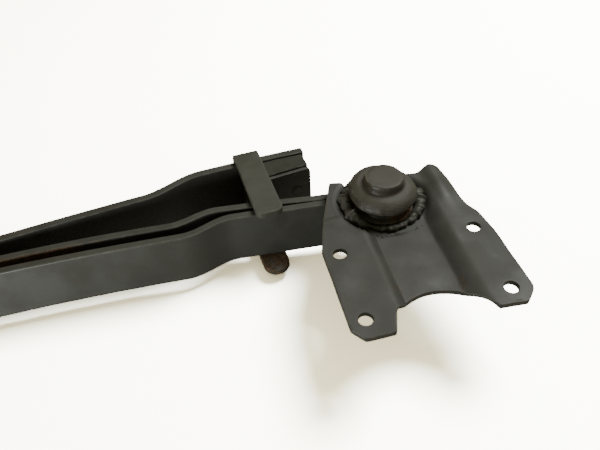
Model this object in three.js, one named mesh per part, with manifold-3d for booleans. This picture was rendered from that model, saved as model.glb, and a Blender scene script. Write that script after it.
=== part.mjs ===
// Light van rear leaf spring with its front hanger bracket, in millimetres, +Z up.
// The spring lies on its edge: +X runs forward along the pack, +Y is the convex (axle seat) side,
// and Z is the width of the leaves. The origin is the middle of the centre bolt's locating head,
// on its end face.
import * as THREE from 'three';
import { mergeVertices } from 'three/addons/utils/BufferGeometryUtils.js';
import Module from 'manifold-3d';

const wasm = await Module();
wasm.setup();

// ---- driving dimensions -------------------------------------------------------------------
const WIDTH = 63.5;               // leaf width
const GAP = 0.3;                  // clearance between pieces that touch
const SEAT_HALF = 50;             // half length of the flat seat at the centre bolt
const HEAD_HEIGHT = 8;            // centre bolt's locating head

// Each leaf's centre line: y at the seat, curvature beyond the seat, how fast that curvature
// changes, and one joggle that sets the ends back towards the axle seat side.
const HELPER_T = 10;
const SECOND_T = 9;
const MAIN_T = 9;
const HELPER_Y = -HEAD_HEIGHT - HELPER_T / 2;
const SECOND_Y = HELPER_Y - 15.5;
const MAIN_Y = SECOND_Y - 14.7;
const LEAVES = {
  main: { t: MAIN_T, y: MAIN_Y, curve: 0.655e-3, relax: 0.911e-6, joggle: 18, joggleAt: 493,
    joggleLength: 60 },
  second: { t: SECOND_T, y: SECOND_Y, curve: 0.437e-3, relax: -0.319e-6, joggle: 15,
    joggleAt: 483, joggleLength: 55, restsOn: 'main' },
  helper: { t: HELPER_T, y: HELPER_Y, curve: -0.169e-3, relax: -1.22e-6, joggle: 17,
    joggleAt: 476, joggleLength: 68 },
};
const SECOND_END = 652;
const HELPER_END = 634;
const FRONT_TANGENT = 676;        // where the main leaf turns into the front eye
const REAR_TANGENT = -696;

const EYE_INNER = 21;             // rolled eye bore radius
const EYE_MID = EYE_INNER + MAIN_T / 2;
const EYE_WRAP = THREE.MathUtils.degToRad(311);

const SLEEVE_OUTER = [18.2, EYE_INNER - GAP];
const RUBBER = [13.5, 18.2 - GAP];
const SLEEVE_INNER = [10.3, 13.5 - GAP];
const SLEEVE_LOW = -33;           // inner sleeve stands proud of the leaf on both sides
const SLEEVE_HIGH = 32;
const PIN_R = 10;

const CLIP_WIDTH = 30;
const CLIP_T = 8;
const CLIP_AT = 567;              // along the helper leaf, from the centre bolt
const CLIP_TOP_REACH = 106;       // free ends, from the helper leaf's outer face
const CLIP_BOTTOM_REACH = 124;
const CLIP_BEND = 1;              // inner bend radius

const BLOCK_START = 556;          // rubbing block on the helper leaf's end
const BLOCK_END = 631;
const PLATE_END = 631;
const WEAR_PLATE_T = 5;
const WEAR_PLATE_FAR = HELPER_Y - 22;   // far face of the wear plate, seen along Y
const BLOCK_INSET = 0.75;         // how far the block and the plate stay inside the leaf's width
const PLATE_INSET = 2.75;
const RIVET_R = 5;
const PAD_RIVET_AT = 614;

const BOLT_R = 6;                 // centre bolt shank
const HEAD_R = 10;
const NUT_ACROSS_FLATS = 19;
const NUT_HEIGHT = 10;

const STEEL = 5.5;                // bracket plate
const FLOOR_Z = 32.3;             // underside of the bracket's channel floor
const CHANNEL_DEPTH = 9.2;
const HANGER_TURN = THREE.MathUtils.degToRad(-8.9);
const HOLE_R = 6.75;
const HOLES = [[-64, -61.5], [74, -61.5], [74, -142.5], [-64, -142.5]];
const SEAT_R = [40.5, 52.5];      // round recess for the pin: floor radius, rim radius
const CHANNEL_LEFT = [-33.5, -20.5];    // channel walls: start and end of each slope
const CHANNEL_RIGHT = [34, 55];
const CHANNEL_FAR = [2, 24];      // where the channel closes behind the pin

// ---- solids and booleans ------------------------------------------------------------------
// The same surface with its faces pointing out, told by the sign of the volume it holds.
function facingOut(geometry) {
  const result = geometry.index ? geometry.toNonIndexed() : geometry.clone();
  const at = result.attributes.position;
  const [a, b, c] = [new THREE.Vector3(), new THREE.Vector3(), new THREE.Vector3()];
  let volume = 0;
  for (let i = 0; i < at.count; i += 3) {
    a.fromBufferAttribute(at, i);
    b.fromBufferAttribute(at, i + 1);
    c.fromBufferAttribute(at, i + 2);
    volume += a.dot(b.clone().cross(c));
  }
  if (volume < 0) {
    for (let i = 0; i < at.count; i += 3) {
      b.fromBufferAttribute(at, i + 1);
      c.fromBufferAttribute(at, i + 2);
      at.setXYZ(i + 1, c.x, c.y, c.z);
      at.setXYZ(i + 2, b.x, b.y, b.z);
    }
    result.computeVertexNormals();
  }
  return result;
}

function solid(geometry) {
  const bare = facingOut(geometry);
  bare.deleteAttribute('normal');
  bare.deleteAttribute('uv');
  const merged = mergeVertices(bare, 1e-4);
  const index = merged.index.array;
  const keep = [];
  for (let i = 0; i < index.length; i += 3) {
    const [a, b, c] = [index[i], index[i + 1], index[i + 2]];
    if (a !== b && b !== c && c !== a) keep.push(a, b, c);
  }
  return new wasm.Manifold(new wasm.Mesh({
    numProp: 3,
    vertProperties: new Float32Array(merged.attributes.position.array),
    triVerts: new Uint32Array(keep),
  }));
}

function geometryOf(manifold) {
  const mesh = manifold.getMesh();
  const geometry = new THREE.BufferGeometry();
  geometry.setAttribute('position', new THREE.BufferAttribute(mesh.vertProperties, 3));
  geometry.setIndex(new THREE.BufferAttribute(mesh.triVerts, 1));
  geometry.computeVertexNormals();
  return geometry;
}

function cut(geometry, ...tools) {
  let result = solid(geometry);
  for (const tool of tools) result = result.subtract(solid(tool));
  return geometryOf(result);
}

// ---- shape helpers ------------------------------------------------------------------------
function shapeOf(points) {
  return new THREE.Shape(points.map(([x, y]) => new THREE.Vector2(x, y)));
}

// A flat outline in XY, raised from z = low to z = high.
function prism(points, low, high) {
  const geometry = new THREE.ExtrudeGeometry(shapeOf(points), {
    depth: high - low, bevelEnabled: false, steps: 1 });
  return geometry.translate(0, 0, low);
}

// A profile of [radius, z] points turned about the Z axis.
function turned(profile, segments = 36) {
  const points = profile.map(([r, z]) => new THREE.Vector2(r, z));
  return new THREE.LatheGeometry(points, segments).rotateX(Math.PI / 2);
}

function ring(inner, outer, low, high, segments = 40) {
  return turned([[inner, low], [outer, low], [outer, high], [inner, high], [inner, low]], segments);
}

function cylinderZ(radius, low, high, segments = 32) {
  const geometry = new THREE.CylinderGeometry(radius, radius, high - low, segments);
  return geometry.rotateX(Math.PI / 2).translate(0, 0, (low + high) / 2);
}

function cylinderY(radius, low, high, segments = 32) {
  const geometry = new THREE.CylinderGeometry(radius, radius, high - low, segments);
  return geometry.translate(0, (low + high) / 2, 0);
}

// Both sides of a band of the given thickness about a centre line of [x, y] points.
function offsetSides(line, thickness) {
  const left = [];
  const right = [];
  line.forEach(([x, y], i) => {
    const before = line[Math.max(i - 1, 0)];
    const after = line[Math.min(i + 1, line.length - 1)];
    const length = Math.hypot(after[0] - before[0], after[1] - before[1]);
    const nx = -(after[1] - before[1]) / length * thickness / 2;
    const ny = (after[0] - before[0]) / length * thickness / 2;
    left.push([x + nx, y + ny]);
    right.push([x - nx, y - ny]);
  });
  return { left, right };
}

function band(line, thickness) {
  const { left, right } = offsetSides(line, thickness);
  return [...right, ...left.reverse()];
}

function arc(cx, cy, radius, from, to, steps) {
  return Array.from({ length: steps + 1 }, (_, i) => {
    const a = from + (to - from) * i / steps;
    return [cx + radius * Math.cos(a), cy + radius * Math.sin(a)];
  });
}

function smoothStep(value, from, to) {
  const u = THREE.MathUtils.clamp((value - from) / (to - from), 0, 1);
  return u * u * (3 - 2 * u);
}

function stations(from, to, steps) {
  return Array.from({ length: steps + 1 }, (_, i) => from + (to - from) * i / steps);
}

// ---- leaves -------------------------------------------------------------------------------
function leafY(leaf, x) {
  const reach = Math.abs(x);
  const d = Math.max(reach - SEAT_HALF, 0);
  const bend = -leaf.curve * d ** 2 / 2 + leaf.relax * d ** 3 / 6;
  const half = leaf.joggleLength / 2;
  const free = leaf.y + bend
    + leaf.joggle * smoothStep(reach, leaf.joggleAt - half, leaf.joggleAt + half);
  if (!leaf.restsOn) return free;
  const below = LEAVES[leaf.restsOn];
  return Math.max(free, leafY(below, x) + (below.t + leaf.t) / 2 + 2 * GAP);
}

function leafSlope(leaf, x) {
  return (leafY(leaf, x + 0.5) - leafY(leaf, x - 0.5));
}

// A point on a leaf's face: side +1 is the axle seat face, -1 the concave face.
function facePoint(leaf, x, side, clearance = 0) {
  const slope = leafSlope(leaf, x);
  const reach = side * (leaf.t / 2 + clearance) / Math.hypot(1, slope);
  return [x - slope * reach, leafY(leaf, x) + reach];
}

// The eye curls off the leaf at x = tangent, on the concave side, by the eye's mid radius.
function eyeAt(tangent) {
  const end = Math.sign(tangent);
  const angle = Math.atan(leafSlope(LEAVES.main, tangent));
  const centre = [tangent + EYE_MID * Math.sin(angle),
    leafY(LEAVES.main, tangent) - EYE_MID * Math.cos(angle)];
  const start = angle + Math.PI / 2;
  const curl = arc(centre[0], centre[1], EYE_MID, start, start - end * EYE_WRAP, 30);
  return { centre, curl: curl.slice(1) };
}

const FRONT_EYE = eyeAt(FRONT_TANGENT);
const REAR_EYE = eyeAt(REAR_TANGENT);

function leafLine(leaf, from, to, steps) {
  return stations(from, to, steps).map((x) => [x, leafY(leaf, x)]);
}

function mainLeaf() {
  const line = [...REAR_EYE.curl.reverse(), ...leafLine(LEAVES.main, REAR_TANGENT, FRONT_TANGENT, 88),
    ...FRONT_EYE.curl];
  return cut(prism(band(line, MAIN_T), -WIDTH / 2, WIDTH / 2), centreHole());
}

function plainLeaf(leaf, end, tools) {
  const line = leafLine(leaf, -end, end, 80);
  return cut(prism(band(line, leaf.t), -WIDTH / 2, WIDTH / 2), ...tools);
}

function centreHole() {
  return cylinderY(BOLT_R + GAP, MAIN_Y - 40, 20);
}

// A strip that fills the space between two leaf faces from x = from to x = to.
function filler(lower, upper, from, to, halfWidth) {
  const xs = stations(from, to, 8);
  const low = xs.map((x) => facePoint(lower, x, 1, GAP));
  const high = xs.map((x) => facePoint(upper, x, -1, GAP));
  return prism([...low, ...high.reverse()], -halfWidth, halfWidth);
}

// ---- clip, rubbing block and rivets, in a frame on the helper leaf's outer face -------------
function clipStrap() {
  const inner = WIDTH / 2 + 0.5;
  const outer = inner + CLIP_T;
  const reach = CLIP_BOTTOM_REACH + 10;
  const turn = CLIP_BEND + CLIP_T;
  const section = [
    [-reach, outer], ...arc(CLIP_T + GAP - turn, outer - turn, turn, Math.PI / 2, 0, 8),
    ...arc(CLIP_T + GAP - turn, -outer + turn, turn, 0, -Math.PI / 2, 8), [-reach, -outer],
    [-reach, -inner], ...arc(GAP - CLIP_BEND, -inner + CLIP_BEND, CLIP_BEND, -Math.PI / 2, 0, 6),
    ...arc(GAP - CLIP_BEND, inner - CLIP_BEND, CLIP_BEND, 0, Math.PI / 2, 6), [-reach, inner]];
  const u = prism(section, -CLIP_WIDTH / 2, CLIP_WIDTH / 2);
  u.applyMatrix4(new THREE.Matrix4().makeBasis(new THREE.Vector3(0, 1, 0),
    new THREE.Vector3(0, 0, 1), new THREE.Vector3(1, 0, 0)));
  const plan = (length, corner) => {
    const w = CLIP_WIDTH / 2;
    return [[w, 20], [-w, 20], ...arc(-w + corner, -length + corner, corner, Math.PI, 1.5 * Math.PI, 8),
      ...arc(w - corner, -length + corner, corner, 1.5 * Math.PI, 2 * Math.PI, 8)];
  };
  const top = solid(prism(plan(CLIP_TOP_REACH, 8), 0, 60));
  const bottom = solid(prism(plan(CLIP_BOTTOM_REACH, CLIP_WIDTH / 2 - 0.01), -60, 0));
  const hole = solid(cylinderY(RIVET_R + GAP, -10, 20));
  return geometryOf(solid(u).intersect(top.add(bottom)).subtract(hole));
}

// A rivet along Y from y = low to y = high, with a round head at each end.
function rivet(low, high, headR = 9, headH = 4.5) {
  const dome = (at, way) => arc(0, 0, 1, 0, Math.PI / 2, 4).map(([c, s]) => [
    headR * c, at + way * headH * s]);
  const profile = [...dome(low, -1).reverse(), [RIVET_R, low], [RIVET_R, high], ...dome(high, 1)];
  profile[0][0] = 0;
  profile[profile.length - 1][0] = 0;
  return turned(profile, 16).rotateX(-Math.PI / 2);
}

// ---- hanger bracket, in a frame on the pin's axis -------------------------------------------
function plateHeight(x, y) {
  const open = smoothStep(x, CHANNEL_LEFT[0], CHANNEL_LEFT[1])
    * (1 - smoothStep(x, CHANNEL_RIGHT[0], CHANNEL_RIGHT[1]))
    * (1 - smoothStep(y, CHANNEL_FAR[0], CHANNEL_FAR[1]));
  const recess = smoothStep(Math.hypot(x, y), SEAT_R[0], SEAT_R[1]);
  return FLOOR_Z + STEEL / 2 + CHANNEL_DEPTH * (1 - open) * recess;
}

// The pressed sheet before it is trimmed: two faces on one grid, STEEL apart along the normal,
// closed round their border.
function pressedSheet() {
  const xs = [-100, -66, ...stations(-52, 60, 36), 80, 110];
  const ys = [-190, -110, -70, ...stations(-54, 54, 35)];
  const step = 0.25;
  const position = [];
  for (const side of [1, -1]) {
    for (const y of ys) {
      for (const x of xs) {
        const normal = new THREE.Vector3(
          (plateHeight(x - step, y) - plateHeight(x + step, y)) / (2 * step),
          (plateHeight(x, y - step) - plateHeight(x, y + step)) / (2 * step), 1).normalize();
        const reach = side * STEEL / 2;
        position.push(x + normal.x * reach, y + normal.y * reach,
          plateHeight(x, y) + normal.z * reach);
      }
    }
  }
  const [columns, rows] = [xs.length, ys.length];
  const far = columns * rows;
  const index = [];
  for (let r = 0; r < rows - 1; r += 1) {
    for (let c = 0; c < columns - 1; c += 1) {
      const a = r * columns + c;
      const [b, d, e] = [a + 1, a + columns, a + columns + 1];
      index.push(a, b, e, a, e, d, far + a, far + e, far + b, far + a, far + d, far + e);
    }
  }
  const border = [];
  for (let c = 0; c < columns - 1; c += 1) border.push(c);
  for (let r = 0; r < rows - 1; r += 1) border.push(r * columns + columns - 1);
  for (let c = columns - 1; c > 0; c -= 1) border.push((rows - 1) * columns + c);
  for (let r = rows - 1; r > 0; r -= 1) border.push(r * columns);
  border.forEach((a, i) => {
    const b = border[(i + 1) % border.length];
    index.push(a, far + a, far + b, a, far + b, b);
  });
  const geometry = new THREE.BufferGeometry();
  geometry.setAttribute('position', new THREE.Float32BufferAttribute(position, 3));
  geometry.setIndex(index);
  return geometry;
}

function bracketOutline() {
  const bite = { x: 5, y: -174, r: 52 };
  const start = Math.acos((-34 - bite.x) / bite.r);
  const end = Math.acos((55 - bite.x) / bite.r);
  return [[-46.5, 42], [-61, 5], [-68, -13], [-78, -46], [-80, -54], [-80, -150],
    [-70, -163], [-42, -163], ...arc(bite.x, bite.y, bite.r, start, end, 20), [82, -161],
    [92.5, -150], [94.5, -145], [92, -70], [88, -42], [81.5, -28], [79, -14], [78, 12],
    [73, 34], [65, 38], [51, 32.5], [42, 33], [26, 40], [0, 42], [-26, 39], [-31, 36], [-34, 40]];
}

function bracketPlate() {
  let plate = solid(pressedSheet()).intersect(solid(prism(bracketOutline(), 5, 90)));
  for (const [x, y] of HOLES) {
    plate = plate.subtract(solid(cylinderZ(HOLE_R, 5, 90).translate(x, y, 0)));
  }
  return geometryOf(plate.subtract(solid(cylinderZ(24 + GAP, 5, 90, 36))));
}

const FLOOR_TOP = FLOOR_Z + STEEL;
const PIN_END = -51;
const WASHER = [SLEEVE_LOW - GAP - 2.5, SLEEVE_LOW - GAP];
const PIN_NUT = [WASHER[0] - GAP - 12, WASHER[0] - GAP];

// Forged pin: threaded end, shank, base flange on the plate, groove, wide collar and head.
function hangerPin() {
  const base = FLOOR_TOP + GAP;
  return turned([[0, PIN_END], [PIN_R - 1.5, PIN_END], [PIN_R, PIN_END + 1.5], [PIN_R, FLOOR_Z],
    [24, FLOOR_Z], [24, base], [32, base], [32, base + 5], [26, base + 6.5], [26, base + 15],
    [33, base + 16.5], [35, base + 19], [35, base + 21], [33, base + 26], [28, base + 30],
    [20.5, base + 32.5], [20, 77], [18.5, 79.4], [16.5, 80], [0, 80]], 40);
}

function weldBead() {
  const base = FLOOR_TOP + GAP;
  return turned([[32 + GAP, base], [40, base], [40, base + 5], [38, base + 8],
    [34, base + 9], [32 + GAP, base + 8.2], [32 + GAP, base]], 36);
}

function hexNut(acrossFlats, bore, low, high) {
  const radius = acrossFlats / Math.sqrt(3);
  const nut = new THREE.CylinderGeometry(radius, radius, high - low, 6);
  nut.rotateX(Math.PI / 2).translate(0, 0, (low + high) / 2);
  return cut(nut, cylinderZ(bore, low - 5, high + 5, 40));
}

// ---- finishes and assembly ------------------------------------------------------------------
const FINISH = {
  leaf: { color: 0x4a4a45, roughness: 0.55, metalness: 0.3 },
  strap: { color: 0x55544c, roughness: 0.6, metalness: 0.25 },
  bracket: { color: 0x4d4d49, roughness: 0.5, metalness: 0.3 },
  pin: { color: 0x58544b, roughness: 0.6, metalness: 0.35 },
  weld: { color: 0x5a5850, roughness: 0.55, metalness: 0.4 },
  block: { color: 0x45453f, roughness: 0.8, metalness: 0.0 },
  rubber: { color: 0x1f1f1f, roughness: 0.9, metalness: 0.0 },
  zinc: { color: 0x8c8a84, roughness: 0.45, metalness: 0.7 },
};

const group = new THREE.Group();

function place(parent, name, geometry, finish) {
  const mesh = new THREE.Mesh(facingOut(geometry), new THREE.MeshStandardMaterial(FINISH[finish]));
  mesh.name = name;
  parent.add(mesh);
  return mesh;
}

// Clip rivets stand square to the helper leaf; pad rivets run along Y.
function endTools(end) {
  const clip = cylinderY(RIVET_R + GAP, -60, 30);
  clip.rotateZ(Math.atan(leafSlope(LEAVES.helper, end * CLIP_AT)));
  const [x, y] = facePoint(LEAVES.helper, end * CLIP_AT, 1);
  clip.translate(x, y, 0);
  const pad = cylinderY(RIVET_R + GAP, -90, 60).translate(end * PAD_RIVET_AT, 0, 0);
  return [clip, pad];
}

const HELPER_TOOLS = [centreHole(), ...endTools(1), ...endTools(-1)];
place(group, 'main_leaf', mainLeaf(), 'leaf');
place(group, 'second_leaf', plainLeaf(LEAVES.second, SECOND_END, [centreHole()]), 'leaf');
place(group, 'helper_leaf', plainLeaf(LEAVES.helper, HELPER_END, HELPER_TOOLS), 'leaf');

function centrePieces() {
  const half = SEAT_HALF - 2;
  const mainTop = MAIN_Y + MAIN_T / 2 + GAP;
  const secondLow = SECOND_Y - SECOND_T / 2 - GAP;
  const secondTop = SECOND_Y + SECOND_T / 2 + GAP;
  const helperLow = HELPER_Y - HELPER_T / 2 - GAP;
  const plate = (low, high) => cut(
    prism([[-half, low], [half, low], [half, high], [-half, high]], -WIDTH / 2, WIDTH / 2),
    centreHole());
  place(group, 'centre_spacer_thin', plate(mainTop, secondLow), 'leaf');
  place(group, 'centre_spacer_thick', plate(secondTop, helperLow), 'leaf');

  const head = -HEAD_HEIGHT + GAP;
  const nutTop = MAIN_Y - MAIN_T / 2 - GAP;
  const tip = nutTop - NUT_HEIGHT - 4;
  const bolt = turned([[0, tip], [BOLT_R - 1, tip], [BOLT_R, tip + 1], [BOLT_R, head],
    [HEAD_R, head], [HEAD_R, -1], [HEAD_R - 1, 0], [0, 0]], 24);
  place(group, 'centre_bolt', bolt.rotateX(-Math.PI / 2), 'zinc');
  const nut = hexNut(NUT_ACROSS_FLATS, BOLT_R + GAP, nutTop - NUT_HEIGHT, nutTop);
  place(group, 'centre_bolt_nut', nut.rotateX(-Math.PI / 2), 'zinc');
}
centrePieces();

function endPieces(label, end) {
  const clipFrame = new THREE.Group();
  const [cx, cy] = facePoint(LEAVES.helper, end * CLIP_AT, 1);
  clipFrame.position.set(cx, cy, 0);
  clipFrame.rotation.z = Math.atan(leafSlope(LEAVES.helper, end * CLIP_AT));
  group.add(clipFrame);
  place(clipFrame, `${label}_clip`, clipStrap(), 'strap');
  const plateNear = WEAR_PLATE_FAR - WEAR_PLATE_T;
  const clipGrip = (cy - plateNear) / Math.cos(clipFrame.rotation.z) + 1.2;
  place(clipFrame, `${label}_clip_rivet`, rivet(-clipGrip, CLIP_T + 2 * GAP), 'pin');

  const tools = endTools(end);
  const xs = stations(BLOCK_START, BLOCK_END, 10).map((x) => end * x);
  const far = xs.map((x) => facePoint(LEAVES.helper, x, -1, GAP));
  const near = [[xs[10], WEAR_PLATE_FAR + GAP], [xs[0], WEAR_PLATE_FAR + GAP]];
  const blockHalf = WIDTH / 2 - BLOCK_INSET;
  const block = prism(end > 0 ? [...near, ...far].reverse() : [...near, ...far],
    -blockHalf, blockHalf);
  place(group, `${label}_rubbing_block`, cut(block, ...tools), 'block');
  const plateHalf = WIDTH / 2 - PLATE_INSET;
  const plate = prism([[end * BLOCK_START, plateNear], [end * PLATE_END, plateNear],
    [end * PLATE_END, WEAR_PLATE_FAR], [end * BLOCK_START, WEAR_PLATE_FAR]],
  -plateHalf, plateHalf);
  place(group, `${label}_wear_plate`, cut(plate, ...tools), 'leaf');
  const outer = facePoint(LEAVES.helper, end * PAD_RIVET_AT, 1)[1] + GAP + 0.9;
  const pad = place(group, `${label}_pad_rivet`, rivet(plateNear - GAP, outer, 8, 1), 'pin');
  pad.position.x = end * PAD_RIVET_AT;
  const tip = filler(LEAVES.main, LEAVES.second, end * 572, end * 604, 26);
  place(group, `${label}_tip_liner`, tip, 'rubber');
}
endPieces('front', 1);
endPieces('rear', -1);

function bush(label, eye, innerParent) {
  const at = new THREE.Vector3(eye.centre[0], eye.centre[1], 0);
  const half = WIDTH / 2;
  place(group, `${label}_bush_outer_sleeve`, ring(...SLEEVE_OUTER, -half, half), 'zinc')
    .position.copy(at);
  place(group, `${label}_bush_rubber`, turned([[RUBBER[0], -half - 0.2], [RUBBER[1], -half + 2],
    [RUBBER[1], half - 2], [RUBBER[0], half + 0.2], [RUBBER[0], -half - 0.2]]), 'rubber')
    .position.copy(at);
  const sleeve = place(innerParent, `${label}_bush_inner_sleeve`,
    ring(...SLEEVE_INNER, SLEEVE_LOW, SLEEVE_HIGH), 'zinc');
  if (innerParent === group) sleeve.position.copy(at);
}

const hanger = new THREE.Group();
hanger.position.set(FRONT_EYE.centre[0], FRONT_EYE.centre[1], 0);
hanger.rotation.z = HANGER_TURN;
group.add(hanger);
bush('front', FRONT_EYE, hanger);
bush('rear', REAR_EYE, group);
place(hanger, 'hanger_plate', bracketPlate(), 'bracket');
place(hanger, 'hanger_pin', hangerPin(), 'pin');
place(hanger, 'hanger_pin_weld', weldBead(), 'weld');
place(hanger, 'hanger_pin_washer', ring(PIN_R + GAP, 19, ...WASHER), 'zinc');
place(hanger, 'hanger_pin_nut', hexNut(30, PIN_R + GAP, ...PIN_NUT), 'zinc');

export default group;
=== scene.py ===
"""Looks of a light van leaf spring and its front hanger bracket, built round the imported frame.

Every piece is in metres in the frame of the CAD model: +X runs forward along the leaves, +Y out of
their convex side and +Z across their width. Sizes are written in millimetres, and each shape is a
surface computed as whole numpy arrays.
"""
import logging
import math
from dataclasses import dataclass, field
from enum import Enum
from typing import Callable

import bmesh
import bpy
import numpy as np
from mathutils import Matrix, Vector
from mathutils.geometry import delaunay_2d_cdt


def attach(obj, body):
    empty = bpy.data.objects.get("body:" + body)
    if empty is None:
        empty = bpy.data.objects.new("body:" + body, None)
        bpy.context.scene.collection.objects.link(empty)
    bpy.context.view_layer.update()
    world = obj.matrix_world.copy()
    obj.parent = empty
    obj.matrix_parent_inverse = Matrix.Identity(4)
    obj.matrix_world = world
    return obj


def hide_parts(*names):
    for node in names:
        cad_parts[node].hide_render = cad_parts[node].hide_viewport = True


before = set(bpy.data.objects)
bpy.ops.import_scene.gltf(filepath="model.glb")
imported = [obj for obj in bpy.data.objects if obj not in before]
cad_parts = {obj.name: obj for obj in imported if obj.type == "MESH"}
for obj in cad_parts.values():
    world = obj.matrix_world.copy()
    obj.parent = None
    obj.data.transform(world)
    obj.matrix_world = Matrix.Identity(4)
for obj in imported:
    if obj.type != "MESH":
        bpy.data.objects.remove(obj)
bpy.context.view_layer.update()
log = logging.getLogger("leaf_spring")

MM = 0.001
WIDTH = 63.5                  # leaf width
GAP = 0.3                     # clearance between pieces that touch
SEAT_HALF = 50.0              # half length of the flat seat at the centre bolt
CORNER_STEPS = 4              # facets round a softened corner
MERGE = 1e-7                  # distance in metres under which two vertices are one
SHARP = 1.5                   # edge radius in millimetres that counts as fully sharp
ROUND_SEGMENTS = 96           # divisions round a sleeve or washer
PROBE = 0.4                   # half step in millimetres for the direction of a bar's path

Array = np.ndarray
Colour = tuple[float, float, float]
Placed = Callable[[Array], Array]


class Body(str, Enum):
    """The bodies that pieces ride on."""

    SPRING = "spring"
    HANGER = "hanger"
    REAR_SLEEVE = "rear_sleeve"


class Slot(str, Enum):
    """The finishes of the pieces."""

    LEAF = "leaf_paint"
    STRAP = "strap_paint"
    BRACKET = "bracket_paint"
    PIN = "pin_paint"
    WELD = "weld_paint"
    BLOCK = "rubbing_block"
    RUBBER = "bush_rubber"
    LINER = "liner"
    STEEL = "bare_steel"


# ---- arithmetic on arrays -------------------------------------------------------------------
def ramp(value: Array, low: float, high: float) -> Array:
    """Smooth step: 3u^2 - 2u^3, with u the share of the way from low to high, held to 0..1."""
    share = np.clip((value - low) / (high - low), 0.0, 1.0)
    return share * share * (3.0 - 2.0 * share)


def swell(value: Array, centre: float, spread: float) -> Array:
    """Bell curve: exp of minus the squared distance from centre over spread."""
    return np.exp(-(((value - centre) / spread) ** 2))


def ripple(points: Array, wavelength: float, seed: int, waves: int = 7) -> Array:
    """Smooth unevenness in about -1..1: a mean of sine waves in seeded directions and phases.

    Args:
        points: positions in millimetres, with x, y, z last.
        wavelength: length of the longest wave in millimetres.
        seed: fixes the directions and phases.
        waves: how many waves are summed.

    Returns:
        One value for each position.
    """
    random = np.random.default_rng(seed)
    ways = random.normal(size=(waves, 3))
    ways /= np.linalg.norm(ways, axis=1, keepdims=True)
    ways *= (2.0 * math.pi / wavelength) * np.linspace(1.0, 2.3, waves)[:, None]
    phases = random.uniform(0.0, 2.0 * math.pi, waves)
    return np.sin(points @ ways.T + phases).sum(-1) / math.sqrt(waves)


def softened(corners: list[tuple[float, float]], radii: list[float], steps: int = CORNER_STEPS) -> Array:
    """An open outline with each inner corner cut back by its radius and bridged by a parabola.

    Args:
        corners: corner points in millimetres.
        radii: distance cut back at each corner; the first and last are not used.
        steps: segments in each bridge.

    Returns:
        The points of the outline, in order.
    """
    at = np.array(corners, float)
    before, here, after = at[:-2], at[1:-1], at[2:]
    back = np.linalg.norm(before - here, axis=1)
    ahead = np.linalg.norm(after - here, axis=1)
    reach = np.minimum(np.array(radii[1:-1], float), 0.49 * np.minimum(back, ahead))
    start = here + (before - here) * (reach / back)[:, None]
    end = here + (after - here) * (reach / ahead)[:, None]
    u = np.linspace(0.0, 1.0, steps + 1)[None, :, None]
    bridge = (1 - u) ** 2 * start[:, None] + 2 * u * (1 - u) * here[:, None] + u * u * end[:, None]
    return np.vstack([at[:1], bridge.reshape(-1, 2), at[-1:]])


def refined(line: Array, spacing: float) -> Array:
    """The same outline with extra points, so that no two neighbours are further apart than spacing."""
    length = np.linalg.norm(np.diff(line, axis=0), axis=1)
    parts = np.maximum(np.ceil(length / spacing).astype(int), 1)
    owner = np.repeat(np.arange(len(parts)), parts)
    share = (np.arange(parts.sum()) - np.repeat(np.cumsum(parts) - parts, parts)) / parts[owner]
    inner = line[owner] + (line[owner + 1] - line[owner]) * share[:, None]
    return np.vstack([inner, line[-1:]])


# ---- closed surfaces ------------------------------------------------------------------------
@dataclass
class Surface:
    """A closed surface: points in millimetres and its faces."""

    points: Array
    faces: list[list[int]]

    def moved(self, centre: Array, turn: float = 0.0) -> "Surface":
        """The surface turned about Z by turn radians, then carried to centre."""
        c, s = math.cos(turn), math.sin(turn)
        spin = np.array([[c, -s, 0.0], [s, c, 0.0], [0.0, 0.0, 1.0]])
        return Surface(self.points @ spin.T + np.asarray(centre, float), self.faces)

    def joined(self, *others: "Surface") -> "Surface":
        """One surface that holds this one and the others."""
        points, faces, offset = [self.points], list(self.faces), len(self.points)
        for other in others:
            points.append(other.points)
            faces.extend((np.array(face) + offset).tolist() for face in other.faces)
            offset += len(other.points)
        return Surface(np.vstack(points), faces)


def grid_faces(rows: int, columns: int, close_rows: bool, close_columns: bool) -> Array:
    """Four-cornered faces between neighbours of a grid of points numbered row by row."""
    row = np.arange(rows if close_rows else rows - 1)[:, None]
    column = np.arange(columns if close_columns else columns - 1)[None, :]
    next_row, next_column = (row + 1) % rows, (column + 1) % columns
    corners = [row * columns + column, row * columns + next_column,
               next_row * columns + next_column, next_row * columns + column]
    return np.stack(corners, -1).reshape(-1, 4)


def tube(grid: Array, ring: bool = False) -> Surface:
    """A skin over closed sections: row i of the grid is the i-th section.

    Args:
        grid: positions, sections by points by three.
        ring: True if the last section joins the first; otherwise both ends are capped flat.

    Returns:
        The closed surface.
    """
    rows, columns = grid.shape[:2]
    faces = grid_faces(rows, columns, ring, True).tolist()
    if not ring:
        faces += [list(range(columns)), list(range((rows - 1) * columns, rows * columns))]
    return Surface(grid.reshape(-1, 3), faces)


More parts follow.
